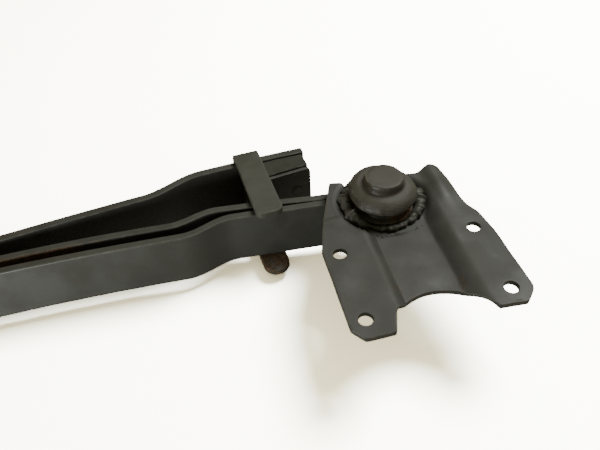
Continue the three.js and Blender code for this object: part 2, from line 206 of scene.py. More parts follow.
def strip_section(half_thickness: Array, half_width: Array, corner: float) -> Array:
    """Rounded rectangles: four quarter arcs joined by sides that are divided near each corner.

    Args:
        half_thickness: half the size along the first axis, one for each station.
        half_width: half the size along the second axis, one for each station.
        corner: corner radius, shortened where a section is too small for it.

    Returns:
        Stations by points by two.
    """
    radius = np.minimum(corner, 0.96 * np.minimum(half_thickness, half_width))[:, None]
    angle = np.linspace(0.0, math.pi / 2, CORNER_STEPS + 1)[None, :]
    quarter = []
    for k, (sa, sb) in enumerate(((1, 1), (-1, 1), (-1, -1), (1, -1))):
        turn = angle + k * math.pi / 2
        a = sa * (half_thickness[:, None] - radius) + radius * np.cos(turn)
        b = sb * (half_width[:, None] - radius) + radius * np.sin(turn)
        quarter.append(np.stack([a, b], -1))
    shares = np.array([0.05, 0.16, 0.35, 0.65, 0.84, 0.95])[None, :, None]
    loop = []
    for k in range(4):
        this, following = quarter[k], quarter[(k + 1) % 4]
        loop += [this, this[:, -1:] + (following[:, :1] - this[:, -1:]) * shares]
    return np.concatenate(loop, 1)


@dataclass
class Strip:
    """A bar of rounded section carried along a flat path, with rounded ends.

    The section stands on the path's normal in XY and on Z. Near each end the section draws in by
    r - sqrt(r^2 - (r - d)^2), d being the distance to the end, so that the ends are rounded too.
    """

    path: Array
    thickness: Array | float
    width: float = WIDTH
    corner: float = 1.6
    end_round: float = 1.6
    plan_start: float = 0.0       # radius of the width's corners at the first end
    plan_end: float = 0.0
    spacing: float = 4.0

    def stations(self, length: float) -> Array:
        """Distances along the path, close together near the ends."""
        swing = 1 - np.sin(np.linspace(0.0, math.pi / 2, 7))
        arc = 1 - np.cos(np.linspace(0.05, math.pi / 2, 14))
        middle = np.linspace(0.0, length, max(int(length / self.spacing), 4) + 1)
        return np.unique(np.round(np.concatenate([
            self.end_round * swing, self.plan_start * arc, middle,
            length - self.plan_end * arc, length - self.end_round * swing]), 4))

    def surface(self) -> Surface:
        """The closed skin of the bar."""
        steps = np.linalg.norm(np.diff(self.path, axis=0), axis=1)
        run = np.concatenate([[0.0], np.cumsum(steps)])
        s = self.stations(run[-1])
        line, ahead, behind = (
            np.stack([np.interp(s + shift, run, self.path[:, k]) for k in range(2)], -1)
            for shift in (0.0, PROBE, -PROBE))
        along = ahead - behind
        along /= np.linalg.norm(along, axis=1, keepdims=True)
        normal = np.stack([-along[:, 1], along[:, 0]], -1)
        thick = np.broadcast_to(np.asarray(self.thickness, float), run.shape)
        near = np.minimum(s, run[-1] - s)
        draw = self.end_round - np.sqrt(
            self.end_round ** 2 - np.maximum(self.end_round - near, 0.0) ** 2)
        half_t = np.interp(s, run, thick) / 2 - draw
        half_w = self.width / 2 - draw
        for radius, distance in ((self.plan_start, s), (self.plan_end, run[-1] - s)):
            inset = np.maximum(radius - distance, 0.0)
            half_w = half_w - (radius - np.sqrt(np.maximum(radius ** 2 - inset ** 2, 0.0)))
        section = strip_section(half_t, np.maximum(half_w, 0.5), self.corner)
        flat = line[:, None] + normal[:, None] * section[..., :1]
        return tube(np.concatenate([flat, section[..., 1:]], -1))


def turned(profile: Array, segments: int, ring: bool = False,
           shape: Callable[[Array, Array], Array] | None = None) -> Surface:
    """A profile of (radius, z) carried round the Z axis.

    Args:
        profile: points of the profile; a solid starts and ends on a small flat disc.
        segments: divisions round the axis.
        ring: True if the profile is a closed loop round a bore.
        shape: gives the radius from the angle and the profile's points, for hexagons and threads.

    Returns:
        The closed surface.
    """
    angle = np.linspace(0.0, 2 * math.pi, segments, endpoint=False)[None, :]
    radius, z = profile[:, :1], profile[:, 1:]
    if shape is not None:
        radius = shape(angle, profile)
    radius = np.broadcast_to(radius, (len(profile), segments))
    grid = np.stack([radius * np.cos(angle), radius * np.sin(angle),
                     np.broadcast_to(z, radius.shape)], -1)
    return tube(grid, ring)


def sleeve(inner: float, outer: float, low: float, high: float, soft: float) -> Surface:
    """A plain ring round the Z axis, with softened edges and divided sides."""
    middle = (inner + outer) / 2
    line = softened([(middle, low), (outer, low), (outer, high), (inner, high), (inner, low),
                     (middle, low)], [0.0, soft, soft, soft, soft, 0.0], 3)
    return turned(refined(line, 3.0)[:-1], ROUND_SEGMENTS, ring=True)


def upright(surface: Surface) -> Surface:
    """A turned surface with its axis laid along +Y in place of +Z."""
    x, y, z = surface.points.T
    return Surface(np.stack([x, z, -y], -1), surface.faces)


# ---- meshes and objects ---------------------------------------------------------------------
def read(items: bpy.types.bpy_prop_collection, name: str, width: int, kind: type = np.float32) -> Array:
    """A number or vector of every item of a mesh, one row for each."""
    values = np.empty(len(items) * width, kind)
    items.foreach_get(name, values)
    return values.reshape(-1, width)


def new_object(name: str, data: bpy.types.ID) -> bpy.types.Object:
    """An object that holds the data, in the scene's own collection."""
    made = bpy.data.objects.new(name, data)
    bpy.context.scene.collection.objects.link(made)
    return made


def curvature(mesh: bpy.types.Mesh) -> tuple[Array, Array]:
    """How sharply the surface turns out and in at each vertex, 1 for a radius of SHARP.

    Along an edge the turn is twice the step out of the tangent plane over the edge's length. Each
    vertex takes the largest of its edges, then shares it once with its neighbours.
    """
    count = len(mesh.vertices)
    at, normal = read(mesh.vertices, "co", 3, float), read(mesh.vertex_normals, "vector", 3)
    ends = read(mesh.edges, "vertices", 2, np.int32)
    a, b = np.concatenate([ends, ends[:, ::-1]]).T
    step = at[a] - at[b]
    length = np.maximum(np.linalg.norm(step, axis=1), 2e-4)
    turn = 2.0 * (normal[a] * step).sum(1) / length ** 2 * SHARP * MM
    out, inward = np.zeros(count), np.zeros(count)
    np.maximum.at(out, a, turn)
    np.maximum.at(inward, a, -turn)
    degree = np.bincount(a, minlength=count)
    shared = [0.5 * v + 0.5 * np.bincount(a, v[b], count) / degree for v in (out, inward)]
    return np.clip(shared[0], 0.0, 1.5), np.clip(shared[1], 0.0, 1.5)


def mark(mesh: bpy.types.Mesh, name: str, values: Array) -> None:
    """Stores one number for each vertex under a name that materials read."""
    layer = mesh.attributes.new(name, "FLOAT", "POINT")
    layer.data.foreach_set("value", np.asarray(values, np.float32))


@dataclass
class Workshop:
    """Makes objects out of surfaces and hangs them on the frame."""

    materials: dict[Slot, bpy.types.Material]
    rough_waves: tuple[tuple[float, float], ...] = ((0.6, 34.0), (0.4, 9.0))
    made: list[bpy.types.Object] = field(default_factory=list)

    def piece(self, name: str, surface: Surface, slot: Slot, body: Body, replaces: tuple[str, ...],
              rust: Placed | None = None, rough: float = 0.0,
              painted_shade: Placed | None = None) -> bpy.types.Object:
        """Builds one finished piece.

        Args:
            name: name of the piece.
            surface: its shape in millimetres.
            slot: the finish it takes.
            body: the body it rides on.
            replaces: the CAD nodes it stands for.
            rust: amount of rust from positions in millimetres.
            rough: height in millimetres of the unevenness that forging leaves.
            painted_shade: amount of painted shade, a near-black colour laid where crevices stand in shadow,
                from positions in millimetres.

        Returns:
            The new object.
        """
        points = surface.points
        mesh = bpy.data.meshes.new(name)
        mesh.from_pydata((points * MM).tolist(), [], surface.faces)
        work = bmesh.new()
        work.from_mesh(mesh)
        bmesh.ops.remove_doubles(work, verts=work.verts, dist=MERGE)
        bmesh.ops.recalc_face_normals(work, faces=work.faces)
        if work.calc_volume(signed=True) < 0:
            bmesh.ops.reverse_faces(work, faces=work.faces)
        work.to_mesh(mesh)
        work.free()
        mesh.polygons.foreach_set("use_smooth", np.ones(len(mesh.polygons), bool))
        mesh.update()
        at = read(mesh.vertices, "co", 3, float)
        if rough:
            normal = read(mesh.vertex_normals, "vector", 3)
            wave = sum(share * ripple(at / MM, wavelength, len(name) + k)
                       for k, (share, wavelength) in enumerate(self.rough_waves))
            at = at + normal * ((wave - 1.0) * 0.5 * rough * MM)[:, None]
            mesh.vertices.foreach_set("co", at.ravel())
            mesh.update()
        out, inward = curvature(mesh)
        mark(mesh, "edge", out)
        mark(mesh, "hollow", inward)
        # the second number is painted shade: how much near-black colour stands in for shadow in slots,
        # grooves and recesses
        for label, placed in (("rust", rust), ("painted_shade", painted_shade)):
            mark(mesh, label, placed(at / MM) if placed else np.zeros(len(at)))
        mesh.materials.append(self.materials[slot])
        made = new_object(name, mesh)
        made.modifiers.new("steady normals", "WEIGHTED_NORMAL").keep_sharp = True
        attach(made, body.value)
        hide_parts(*replaces)
        self.made.append(made)
        log.info("%s: %d vertices on %s", name, len(mesh.vertices), body.value)
        return made


# ---- finishes -------------------------------------------------------------------------------
class Tree:
    """Short hand for placing and joining shader nodes."""

    def __init__(self, nodes: bpy.types.NodeTree) -> None:
        """Keeps the node tree that is being filled."""
        self.tree = nodes

    def add(self, kind: str, values: dict[str, object] | None = None, **settings: object) -> bpy.types.Node:
        """Adds a node, sets its properties, and sets or joins its inputs.

        Args:
            kind: the node's type.
            values: input name or number to a plain value or to an output socket.
            **settings: properties of the node itself.

        Returns:
            The new node.
        """
        node = self.tree.nodes.new(kind)
        for name, value in settings.items():
            setattr(node, name, value)
        return self.fill(node, values or {})

    def fill(self, node: bpy.types.Node, values: dict[int | str, object]) -> bpy.types.Node:
        """Sets inputs of a node to plain values or joins them to output sockets."""
        for key, value in values.items():
            if isinstance(value, bpy.types.NodeSocket):
                self.tree.links.new(value, node.inputs[key])
            else:
                node.inputs[key].default_value = value
        return node

    def math(self, operation: str, *values: object, clamp: bool = False) -> bpy.types.NodeSocket:
        """A Math node's result."""
        node = self.add("ShaderNodeMath", dict(enumerate(values)), operation=operation, use_clamp=clamp)
        return node.outputs[0]

    def noise(self, vector: bpy.types.NodeSocket, scale: object, detail: float = 3.0,
              roughness: float = 0.55) -> bpy.types.NodeSocket:
        """A noise texture's value."""
        node = self.add("ShaderNodeTexNoise", {"Vector": vector, "Scale": scale, "Detail": detail,
                                               "Roughness": roughness})
        return node.outputs["Fac"]

    def between(self, value: bpy.types.NodeSocket, low: object, high: object, to_low: float = 0.0,
                to_high: float = 1.0) -> bpy.types.NodeSocket:
        """A smooth step from low to high, put out between to_low and to_high."""
        node = self.add("ShaderNodeMapRange", {"Value": value, "From Min": low, "From Max": high,
                                               "To Min": to_low, "To Max": to_high},
                        interpolation_type="SMOOTHSTEP")
        return node.outputs["Result"]

    def blend(self, share: object, *colours: object) -> bpy.types.NodeSocket:
        """Two colours mixed by a share."""
        first, second = (colour if isinstance(colour, bpy.types.NodeSocket) else (*colour, 1.0)
                         for colour in colours)
        node = self.add("ShaderNodeMix", {0: share, 6: first, 7: second}, data_type="RGBA")
        return node.outputs[2]

    def attribute(self, name: str) -> bpy.types.NodeSocket:
        """A stored number of the piece."""
        return self.add("ShaderNodeAttribute", attribute_name=name).outputs["Fac"]


def new_material(name: str) -> tuple[bpy.types.Material, Tree]:
    """A material with no nodes, and the Tree that fills it."""
    material = bpy.data.materials.new(name)
    material.use_nodes = True
    material.node_tree.nodes.clear()
    return material, Tree(material.node_tree)


class Effect(Enum):
    """The effects that several finishes share, each one node group."""

    WORN_EDGES = "worn edges"
    RUST = "rust"
    GRAIN = "grain"
    DUST = "settled dust"


class EffectGroups:
    """Builds each shared effect once as a node group and places it where it is asked for."""

    def __init__(self) -> None:
        """Builds all groups."""
        self.groups = {Effect.WORN_EDGES: self.worn_edges(), Effect.RUST: self.rust(),
                       Effect.GRAIN: self.grain(), Effect.DUST: self.dust()}

    @staticmethod
    def new_group(effect: Effect, inputs: dict[str, float], outputs: tuple[str, ...]) -> tuple:
        """An empty group with its sockets.

        Args:
            effect: which effect, whose value names the group.
            inputs: number inputs and their defaults, besides Vector.
            outputs: names of the outputs; one named Color is a colour.

        Returns:
            The group, a Tree for filling it, its input node and its output node.
        """
        group = bpy.data.node_groups.new(effect.value, "ShaderNodeTree")
        group.interface.new_socket("Vector", in_out="INPUT", socket_type="NodeSocketVector")
        for name, value in inputs.items():
            group.interface.new_socket(
                name, in_out="INPUT", socket_type="NodeSocketFloat").default_value = value
        for name in outputs:
            kind = "NodeSocketColor" if name == "Color" else "NodeSocketFloat"
            group.interface.new_socket(name, in_out="OUTPUT", socket_type=kind)
        tree = Tree(group)
        return group, tree, tree.add("NodeGroupInput"), tree.add("NodeGroupOutput")

    def worn_edges(self) -> bpy.types.NodeTree:
        """Mask of rubbed outer edges: the edge number broken up by noise."""
        group, tree, given, out = self.new_group(
            Effect.WORN_EDGES, {"Amount": 0.5, "Scale": 120.0}, ("Mask",))
        broken = tree.noise(given.outputs["Vector"], given.outputs["Scale"], 4.0, 0.65)
        reach = tree.math("MULTIPLY", tree.attribute("edge"), tree.between(broken, 0.3, 0.72, 0.1, 1.3))
        mask = tree.between(tree.math("MULTIPLY", reach, given.outputs["Amount"]), 0.12, 0.5)
        tree.fill(out, {"Mask": mask})
        return group

    def rust(self) -> bpy.types.NodeTree:
        """Mask, colour and height of rust: patches where noise, the rust number and hollows agree."""
        group, tree, given, out = self.new_group(
            Effect.RUST, {"Scale": 60.0, "Cover": 0.1}, ("Mask", "Color", "Height"))
        vector = given.outputs["Vector"]
        patches = tree.noise(vector, given.outputs["Scale"], 6.0, 0.62)
        placed = tree.math("MULTIPLY_ADD", tree.attribute("rust"), 0.62, given.outputs["Cover"])
        placed = tree.math("MULTIPLY_ADD", tree.attribute("hollow"), 0.12, placed)
        mask = tree.between(tree.math("ADD", patches, placed), 0.66, 0.86)
        fine = tree.noise(vector, 420.0, 5.0, 0.7)
        deep = tree.blend(tree.between(fine, 0.35, 0.62), (0.026, 0.017, 0.010), (0.082, 0.048, 0.021))
        colour = tree.blend(tree.between(tree.noise(vector, 95.0, 3.0), 0.5, 0.75, 0.0, 0.75), deep,
                            (0.14, 0.078, 0.032))
        tree.fill(out, {"Mask": mask, "Color": colour, "Height": tree.math("MULTIPLY", fine, mask)})
        return group

    def grain(self) -> bpy.types.NodeTree:
        """Broad tone, fine height and scratches of a sprayed or rolled surface."""
        group, tree, given, out = self.new_group(
            Effect.GRAIN, {"Scale": 900.0}, ("Tone", "Height", "Scratches"))
        vector = given.outputs["Vector"]
        peel = tree.noise(vector, given.outputs["Scale"], 2.0)
        pits = tree.between(tree.noise(vector, 260.0, 3.0), 0.62, 0.78, 0.0, -0.8)
        stretched = tree.add("ShaderNodeMapping", {"Vector": vector, "Scale": (14.0, 330.0, 330.0),
                                                   "Rotation": (0.0, 0.35, 0.25)})
        scratches = tree.between(tree.noise(stretched.outputs[0], 1.0, 2.0), 0.7, 0.8)
        broad = tree.noise(vector, 17.0, 5.0, 0.6)
        tree.fill(out, {"Tone": tree.between(broad, 0.3, 0.7), "Height": tree.math("ADD", peel, pits),
                        "Scratches": scratches})
        return group

    def dust(self) -> bpy.types.NodeTree:
        """Mask of dust that lies on faces that look up, thinner where noise has rubbed it away."""
        group, tree, given, out = self.new_group(Effect.DUST, {"Amount": 0.5}, ("Mask",))
        normal = tree.add("ShaderNodeTexCoord").outputs["Normal"]
        facing = tree.add("ShaderNodeSeparateXYZ", {"Vector": normal}).outputs["Z"]
        patches = tree.between(tree.noise(given.outputs["Vector"], 38.0, 5.0, 0.65), 0.28, 0.7, 0.35, 1.0)
        lying = tree.math("MULTIPLY", tree.between(facing, 0.25, 0.95), patches)
        mask = tree.math("MULTIPLY", lying, given.outputs["Amount"], clamp=True)
        tree.fill(out, {"Mask": mask})
        return group

    def place(self, tree: Tree, effect: Effect, values: dict[str, object]) -> bpy.types.Node:
        """One use of an effect in a material's tree."""
        return tree.add("ShaderNodeGroup", values, node_tree=self.groups[effect])


@dataclass(frozen=True)
class Finish:
    """What every finish of the spring shares: a coat, dust and rust on it, painted shade in its crevices, and
    what shows where it is rubbed.
    """

    slot: Slot
    coat: Colour
    dark: Colour
    dusty: Colour
    rubbed: Colour
    dust: float = 0.8
    wear: float = 0.3
    rust_cover: float = -0.02
    rust_scale: float = 60.0
    roughness: tuple[float, float] = (0.42, 0.62)
    specular: float = 0.4
    metallic: float = 0.0
    grain_scale: float = 900.0
    bump: float = 0.35
    bump_depth: float = 0.00025

    def build(self, effects: EffectGroups) -> bpy.types.Material:
        """The material: coat and tone, then dust, scratches, worn edges, rust and painted shade over it."""
        material, tree = new_material(self.slot.value)
        vector = tree.add("ShaderNodeTexCoord").outputs["Object"]
        grain = effects.place(tree, Effect.GRAIN, {"Vector": vector, "Scale": self.grain_scale})
        worn = effects.place(tree, Effect.WORN_EDGES, {"Vector": vector, "Amount": self.wear})
        rust = effects.place(tree, Effect.RUST, {"Vector": vector, "Scale": self.rust_scale,
                                                 "Cover": self.rust_cover})
        dust = effects.place(tree, Effect.DUST, {"Vector": vector, "Amount": self.dust})
        colour = tree.blend(grain.outputs["Tone"], self.dark, self.coat)
        colour = tree.blend(dust.outputs["Mask"], colour, self.dusty)
        scratched = tree.math("MULTIPLY", grain.outputs["Scratches"], 0.22)
        colour = tree.blend(scratched, colour, self.rubbed)
        colour = tree.blend(worn.outputs["Mask"], colour, self.rubbed)
        colour = tree.blend(rust.outputs["Mask"], colour, rust.outputs["Color"])
        # painted shade: near-black colour laid by the stored shade number, standing in for shadow in slots,
        # grooves and recesses
        painted_shade_share = tree.math("MULTIPLY", tree.attribute("painted_shade"), 0.85, clamp=True)
        colour = tree.blend(painted_shade_share, colour, (0.012, 0.011, 0.009))
        low, high = self.roughness
        matt = tree.between(grain.outputs["Tone"], 0.0, 1.0, low, high)
        matt = tree.math("MULTIPLY_ADD", rust.outputs["Mask"], 0.3, matt)
        matt = tree.math("MULTIPLY_ADD", dust.outputs["Mask"], 0.12, matt, clamp=True)
        height = tree.math("MULTIPLY_ADD", rust.outputs["Height"], 1.6, grain.outputs["Height"])
        relief = tree.add("ShaderNodeBump", {"Height": height, "Strength": self.bump,
                                             "Distance": self.bump_depth})
        shader = tree.add("ShaderNodeBsdfPrincipled", {
            "Base Color": colour, "Roughness": matt, "Normal": relief.outputs["Normal"],
            "Metallic": self.metallic, "Specular IOR Level": self.specular})
        tree.add("ShaderNodeOutputMaterial", {"Surface": shader.outputs[0]})
        return material


FINISHES = (
    Finish(Slot.LEAF, coat=(0.040, 0.041, 0.036), dark=(0.030, 0.030, 0.026), dusty=(0.066, 0.066, 0.055),
           rubbed=(0.085, 0.083, 0.068), dust=0.85),
    Finish(Slot.STRAP, coat=(0.052, 0.052, 0.043), dark=(0.041, 0.041, 0.033), dusty=(0.077, 0.077, 0.062),
           rubbed=(0.085, 0.083, 0.065), wear=0.45, grain_scale=700.0),
    Finish(Slot.BRACKET, coat=(0.041, 0.042, 0.038), dark=(0.031, 0.031, 0.028), dusty=(0.063, 0.063, 0.055),
           rubbed=(0.085, 0.078, 0.058), rust_scale=75.0, roughness=(0.40, 0.58)),
    Finish(Slot.PIN, coat=(0.050, 0.048, 0.038), dark=(0.034, 0.030, 0.021), dusty=(0.078, 0.076, 0.062),
           rubbed=(0.12, 0.115, 0.09), dust=0.75, wear=0.5, rust_cover=0.0, rust_scale=110.0, bump=0.6),
    Finish(Slot.WELD, coat=(0.047, 0.046, 0.038), dark=(0.034, 0.032, 0.025), dusty=(0.070, 0.069, 0.057),
           rubbed=(0.075, 0.074, 0.060), rust_scale=140.0, roughness=(0.42, 0.6), specular=0.35),
    Finish(Slot.BLOCK, coat=(0.040, 0.040, 0.033), dark=(0.028, 0.028, 0.022), dusty=(0.062, 0.062, 0.050),
           rubbed=(0.075, 0.074, 0.062), dust=0.75, wear=0.4, rust_cover=-0.4, roughness=(0.7, 0.85),
           specular=0.25, grain_scale=420.0, bump=0.6),
    Finish(Slot.RUBBER, coat=(0.014, 0.014, 0.013), dark=(0.009, 0.009, 0.009), dusty=(0.035, 0.034, 0.028),
           rubbed=(0.03, 0.03, 0.027), dust=0.4, wear=0.4, rust_cover=-0.4, roughness=(0.6, 0.8),
           specular=0.3, grain_scale=500.0, bump=0.5),
    Finish(Slot.LINER, coat=(0.020, 0.020, 0.018), dark=(0.014, 0.014, 0.012), dusty=(0.04, 0.039, 0.032),
           rubbed=(0.04, 0.04, 0.034), dust=0.4, wear=0.4, rust_cover=-0.3, roughness=(0.5, 0.7),
           specular=0.35),
    Finish(Slot.STEEL, coat=(0.26, 0.24, 0.19), dark=(0.15, 0.135, 0.10), dusty=(0.20, 0.185, 0.145),
           rubbed=(0.38, 0.36, 0.31), dust=0.3, wear=0.5, rust_cover=0.04, rust_scale=120.0,
           roughness=(0.32, 0.5), specular=0.5, metallic=0.85, bump=0.4),
)


# ---- leaves ---------------------------------------------------------------------------------
@dataclass(frozen=True)
class LeafCurve:
    """Centre line of a leaf over its distance from the centre bolt.

    Past the flat seat it bends by -curve d^2 / 2 + relax d^3 / 6, and a smooth step of the joggle's
    height sets its end back towards the axle side.
    """

    thickness: float
    seat_y: float
    curve: float
    relax: float
    joggle: float
    joggle_at: float
    joggle_length: float
    rests_on: "LeafCurve | None" = None

    def y(self, x: Array) -> Array:
        """Height of the centre line at x, kept off the leaf below where the two meet."""
        reach = np.abs(x)
        d = np.maximum(reach - SEAT_HALF, 0.0)
        half = self.joggle_length / 2
        step = ramp(reach, self.joggle_at - half, self.joggle_at + half)
        free = self.seat_y - self.curve * d ** 2 / 2 + self.relax * d ** 3 / 6 + self.joggle * step
        if self.rests_on is None:
            return free
        return np.maximum(free, self.rests_on.y(x) + (self.rests_on.thickness + self.thickness) / 2 + 2 * GAP)

    def slope(self, x: Array) -> Array:
        """Slope of the centre line at x."""
        return self.y(x + 0.5) - self.y(x - 0.5)

    def face(self, x: Array, side: float, clearance: float = 0.0) -> Array:
        """Points on a face of the leaf: side +1 is the axle side."""
        slope = self.slope(x)
        reach = side * (self.thickness / 2 + clearance) / np.hypot(1.0, slope)
        return np.stack([x - slope * reach, self.y(x) + reach], -1)

    def line(self, start: float, end: float, count: int = 500) -> Array:
        """Points of the centre line from start to end."""
        x = np.linspace(start, end, count)
        return np.stack([x, self.y(x)], -1)


HELPER = LeafCurve(10.0, -13.0, -0.169e-3, -1.22e-6, 17.0, 476.0, 68.0)
MAIN = LeafCurve(9.0, -43.2, 0.655e-3, 0.911e-6, 18.0, 493.0, 60.0)
SECOND = LeafCurve(9.0, -28.5, 0.437e-3, -0.319e-6, 15.0, 483.0, 55.0, rests_on=MAIN)


@dataclass
class LeafPack:
    """The three leaves, the packing at the seat and the bolt that holds them."""

    shop: Workshop
    second_end: float = 652.0
    helper_end: float = 634.0
    front_tangent: float = 676.0
    rear_tangent: float = -696.0
    eye_mid: float = 25.5
    eye_wrap: float = math.radians(311)

    def eye_centre(self, tangent: float) -> Array:
        """Axis of the eye that curls off the main leaf at x = tangent."""
        angle = math.atan(float(MAIN.slope(np.array(tangent))))
        return np.array([tangent + self.eye_mid * math.sin(angle),
                         float(MAIN.y(np.array(tangent))) - self.eye_mid * math.cos(angle)])

    def eye_curl(self, tangent: float) -> Array:
        """Arc of the eye from the tangent point round its axis."""
        angle = math.atan(float(MAIN.slope(np.array(tangent)))) + math.pi / 2
        turn = angle - math.copysign(1.0, tangent) * np.linspace(0.0, self.eye_wrap, 160)
        centre = self.eye_centre(tangent)
        return centre + self.eye_mid * np.stack([np.cos(turn), np.sin(turn)], -1)

    def leaves(self) -> None:
        """Main leaf with its two eyes, second leaf and helper leaf."""
        path = np.vstack([self.eye_curl(self.rear_tangent)[:0:-1],
                          MAIN.line(self.rear_tangent, self.front_tangent),
                          self.eye_curl(self.front_tangent)[1:]])
        second, helper = (
            Strip(leaf.line(-end, end), leaf.thickness)
            for leaf, end in ((SECOND, self.second_end), (HELPER, self.helper_end)))
        for label, strip, rust, rough in (
                ("main", Strip(path, MAIN.thickness, spacing=3.2), self.gap_rust(MAIN, 1.0), 0.10),
                ("second", second, self.gap_rust(SECOND, -1.0), 0.12),
                ("helper", helper, None, 0.15)):
            self.shop.piece(f"spring_{label}_leaf", strip.surface(), Slot.LEAF, Body.SPRING,
                            (f"{label}_leaf",), rust=rust, rough=rough)

    @staticmethod
    def gap_rust(leaf: LeafCurve, side: float) -> Placed:
        """Rust in the gap beside one face of a leaf, strongest near the seat and fading to the ends."""
        def amount(at: Array) -> Array:
            offset = (at[:, 1] - leaf.y(at[:, 0])) * side
            facing = ramp(offset, leaf.thickness / 2 - 1.3, leaf.thickness / 2 - 0.4)
            return facing * (0.85 - 0.85 * ramp(np.abs(at[:, 0]), 330.0, 420.0))
        return amount

    def packing(self) -> None:
        """The two spacers between the leaves at the seat."""
        half = SEAT_HALF - 2
        for label, low, high in (
                ("thin", MAIN.seat_y + MAIN.thickness / 2, SECOND.seat_y - SECOND.thickness / 2),
                ("thick", SECOND.seat_y + SECOND.thickness / 2, HELPER.seat_y - HELPER.thickness / 2)):
            middle = (low + high) / 2
            path = np.array([[-half, middle], [half, middle]])
            bar = Strip(path, high - low - 2 * GAP, corner=0.9, end_round=0.9, spacing=8.0)
            self.shop.piece(f"centre_spacer_{label}_plate", bar.surface(), Slot.LEAF, Body.SPRING,
                            (f"centre_spacer_{label}",), rough=0.15)

    def centre_bolt(self) -> None:
        """The bolt with its round locating head, and its nut."""
        nut_top = MAIN.seat_y - MAIN.thickness / 2 - GAP
        fastener = ThreadedPart(6.0, 1.5)
        tip = nut_top - 14.0
        corners = [(0.3, tip), (4.8, tip), (6.0, tip + 1.2), (6.0, -7.7), (10.0, -7.7), (10.0, 0.0),
                   (0.3, 0.0)]
        bolt = fastener.shaft(corners, [0, 0.5, 0.8, 0.5, 0.6, 1.6, 0], (tip + 1.5, nut_top + 1.0))
        self.shop.piece("centre_bolt_body", upright(bolt), Slot.STEEL, Body.SPRING, ("centre_bolt",))
        nut = fastener.nut(19.0, nut_top - 10.0, nut_top)
        self.shop.piece("centre_bolt_hex_nut", upright(nut), Slot.STEEL, Body.SPRING, ("centre_bolt_nut",))

    def build(self) -> None:
        """All pieces of the pack."""
        self.leaves()
        self.packing()
        self.centre_bolt()


@dataclass(frozen=True)
class ThreadedPart:
    """Shafts and nuts of one thread."""

    radius: float
    pitch: float
    depth_share: float = 0.35

    def shaft(self, corners: list[tuple[float, float]], radii: list[float], thread: tuple[float, float],
              segments: int = 72) -> Surface:
        """A turned shaft with a helical thread over one stretch.

        The radius falls by a triangle wave of z / pitch - angle / 2 pi, which is a helix.
        """
        profile = refined(softened(corners, radii), self.pitch / 7)

        def threaded(angle: Array, points: Array) -> Array:
            radius, z = points[:, :1], points[:, 1:]
            phase = (z / self.pitch - angle / (2 * math.pi)) % 1.0
            groove = 1.0 - np.abs(2.0 * phase - 1.0)
            inside = (ramp(z, thread[0], thread[0] + 0.8) * (1 - ramp(z, thread[1] - 0.8, thread[1]))
                      * (np.abs(radius - self.radius) < 0.05))
            return radius - self.pitch * self.depth_share * groove * inside
        return turned(profile, segments, shape=threaded)

    def nut(self, across: float, low: float, high: float, segments: int = 120) -> Surface:
        """A hexagon nut: the smaller of the hexagon's radius and a chamfer cone at each end."""
        bore, corner = self.radius + GAP, across / math.sqrt(3)
        bevel = 0.14 * across
        line = refined(softened([(bore + 0.8, low), (corner * 0.86, low), (corner, low + bevel * 0.6),
                                 (corner, high - bevel * 0.6), (corner * 0.86, high), (bore + 0.8, high),
                                 (bore, high - 0.8), (bore, low + 0.8), (bore + 0.8, low)],
                                [0, 0.3, 0.5, 0.5, 0.3, 0.3, 0.3, 0.3, 0]), 0.8)[:-1]

        def hexagon(angle: Array, points: Array) -> Array:
            flat = (across / 2) / np.cos((angle % (math.pi / 3)) - math.pi / 6)
            return np.minimum(points[:, :1], flat)
        return turned(line, segments, ring=True, shape=hexagon)


